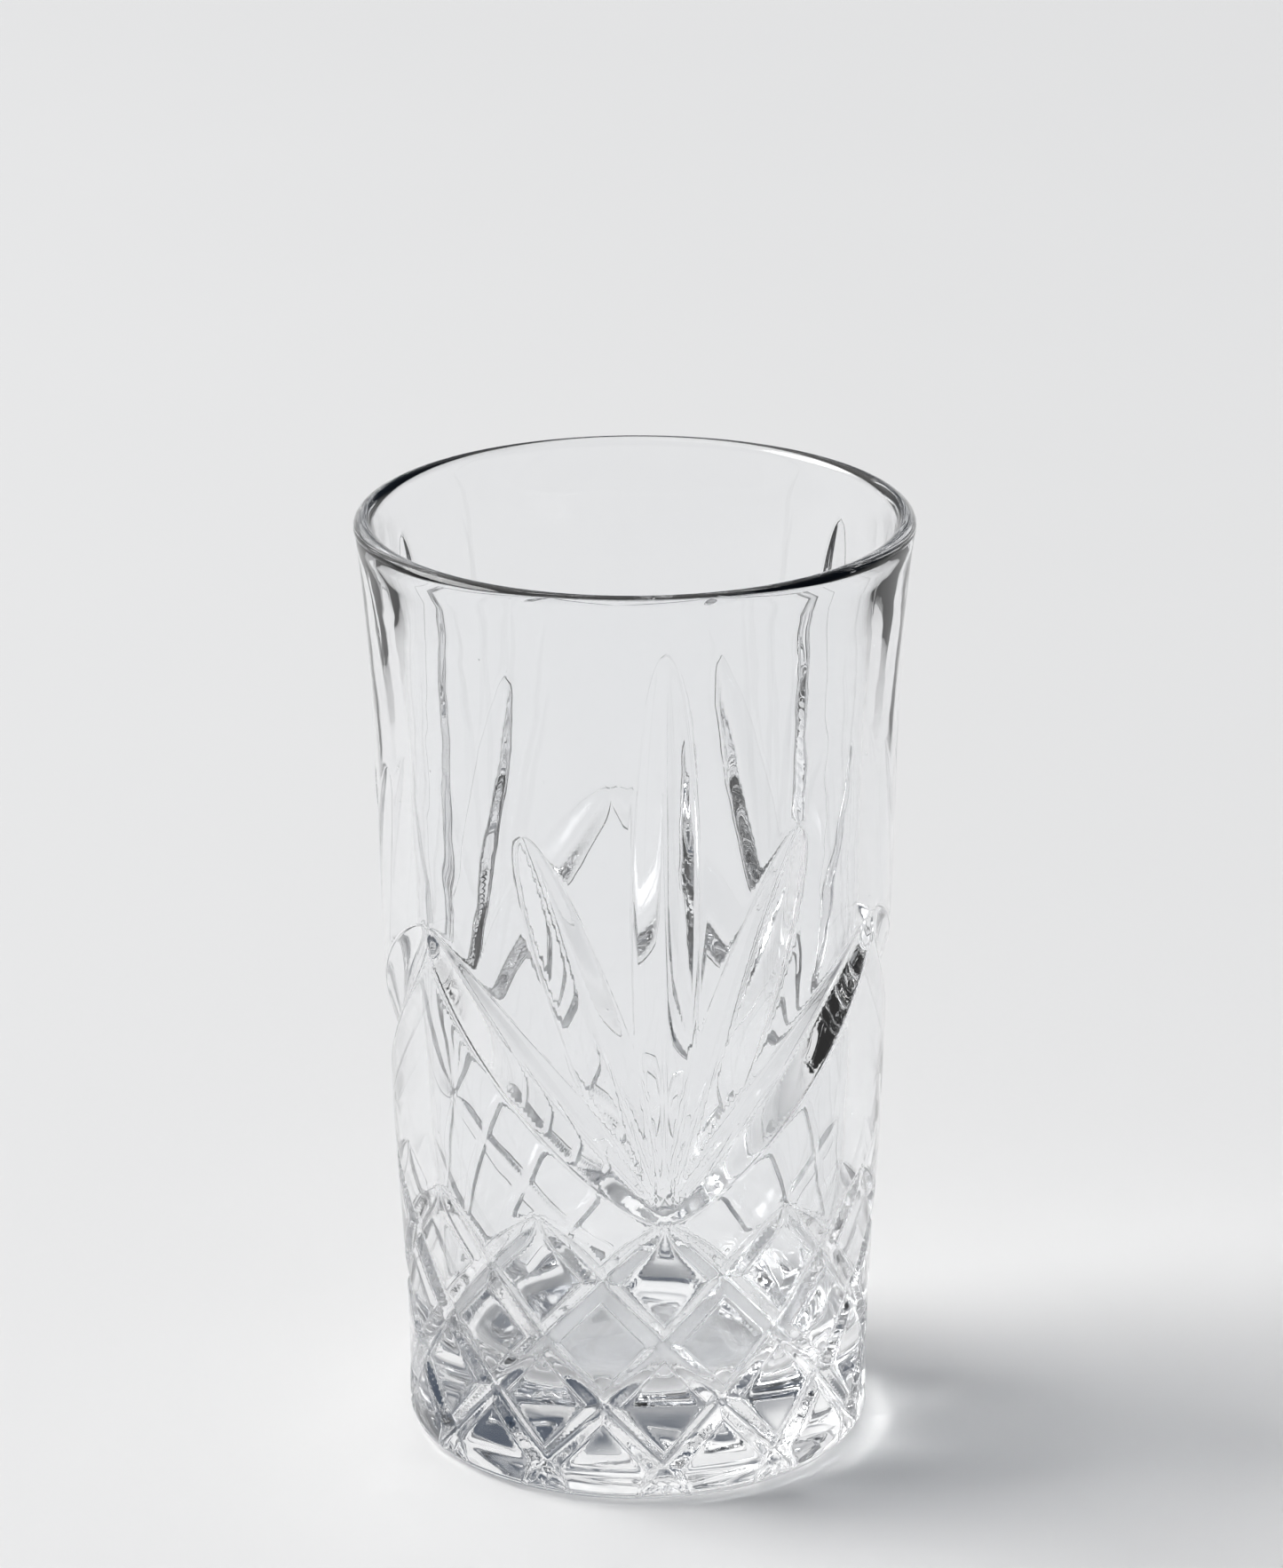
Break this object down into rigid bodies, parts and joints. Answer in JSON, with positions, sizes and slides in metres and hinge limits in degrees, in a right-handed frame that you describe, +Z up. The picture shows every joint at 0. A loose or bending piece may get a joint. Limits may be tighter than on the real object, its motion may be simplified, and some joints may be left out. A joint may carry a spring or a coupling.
{
  "type": "highball tumbler",
  "caption": "Tall pressed clear-glass tumbler with a thick wall, heavy base, a band of crossed grooves round the foot and fans of leaf-shaped cuts above it.",
  "frame": {"origin": "centre of the glass at the plane that its foot stands on", "axes": "+Z up along the glass's axis towards the rim, the middle of one fan of cuts towards -Y"},
  "size_m": [0.081, 0.081, 0.141],
  "materials": {
    "clear_glass": "polished"
  },
  "bodies": {
    "root": {"glass_body": "clear_glass"}
  },
  "joints": []
}
